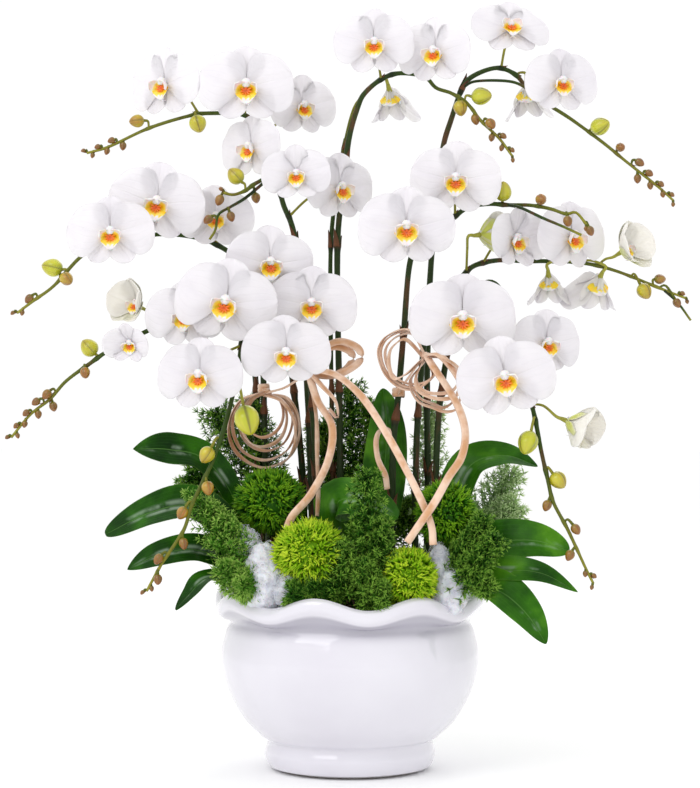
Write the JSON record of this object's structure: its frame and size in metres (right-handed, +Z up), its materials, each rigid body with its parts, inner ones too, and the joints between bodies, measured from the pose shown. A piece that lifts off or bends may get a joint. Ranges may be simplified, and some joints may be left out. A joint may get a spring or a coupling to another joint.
{
  "type": "potted moth orchid arrangement",
  "caption": "White moth orchid arrangement with ferns, tufted green heads and satin ribbons in a glazed bowl with a scalloped rim.",
  "frame": {"origin": "centre of the bowl's flat foot", "axes": "+Z up; the side that the arrangement is seen from is -Y"},
  "size_m": [0.696, 0.3514, 0.7843],
  "materials": {
    "glaze": "gloss",
    "bark": "matte",
    "fibre": "matte",
    "stem": "satin",
    "petal": "satin",
    "leaf": "satin",
    "tuft_lime": "matte",
    "tuft_deep": "matte",
    "fern": "matte",
    "ribbon": "satin"
  },
  "bodies": {
    "root": {"bowl": "glaze", "potting_mix": "bark", "fibre_left": "fibre", "fibre_right": "fibre", "leaves_left": "leaf", "leaves_right": "leaf", "leaves_centre": "leaf", "leaves_back": "leaf", "spike_top_left": "stem", "spike_crown_left": "stem", "spike_mid_left": "stem", "spike_low_left": "stem", "spike_cascade_left": "stem", "spike_top_mid": "stem", "spike_top_right": "stem", "spike_mid_right": "stem", "spike_right": "stem", "spike_cascade_right": "stem", "bloom_top_left_outer": "petal", "bloom_top_left_front": "petal", "bloom_top_left_inner": "petal", "bloom_top_left_under": "petal", "bloom_crown_left_cupped": "petal", "bloom_crown_left_inner": "petal", "bloom_mid_left_front": "petal", "bloom_mid_left_outer": "petal", "bloom_mid_left_inner": "petal", "bloom_low_left_outer": "petal", "bloom_low_left_front": "petal", "bloom_low_left_top": "petal", "bloom_low_left_inner": "petal", "bloom_low_left_drooping": "petal", "bloom_low_left_lowest": "petal", "bloom_low_left_small": "petal", "bloom_top_mid_left": "petal", "bloom_top_mid_right": "petal", "bloom_top_mid_hanging": "petal", "bloom_top_right_crest": "petal", "bloom_top_right_hanging": "petal", "bloom_top_right_outer": "petal", "bloom_mid_right_top": "petal", "bloom_mid_right_front": "petal", "bloom_right_profile": "petal", "bloom_right_fan": "petal", "bloom_right_low": "petal", "bloom_low_right_top": "petal", "bloom_low_right_front": "petal", "blooms_right_hanging_pair": "petal", "tuft_front_left": "tuft_lime", "tuft_front_right": "tuft_lime", "tuft_back_left": "tuft_deep", "tuft_back_right": "tuft_deep", "fern_left_front": "fern", "fern_left_back": "fern", "fern_centre_back": "fern", "fern_centre_front": "fern", "fern_right_back": "fern", "fern_right_front": "fern", "ribbon_left": "ribbon", "ribbon_right": "ribbon"}
  },
  "joints": []
}
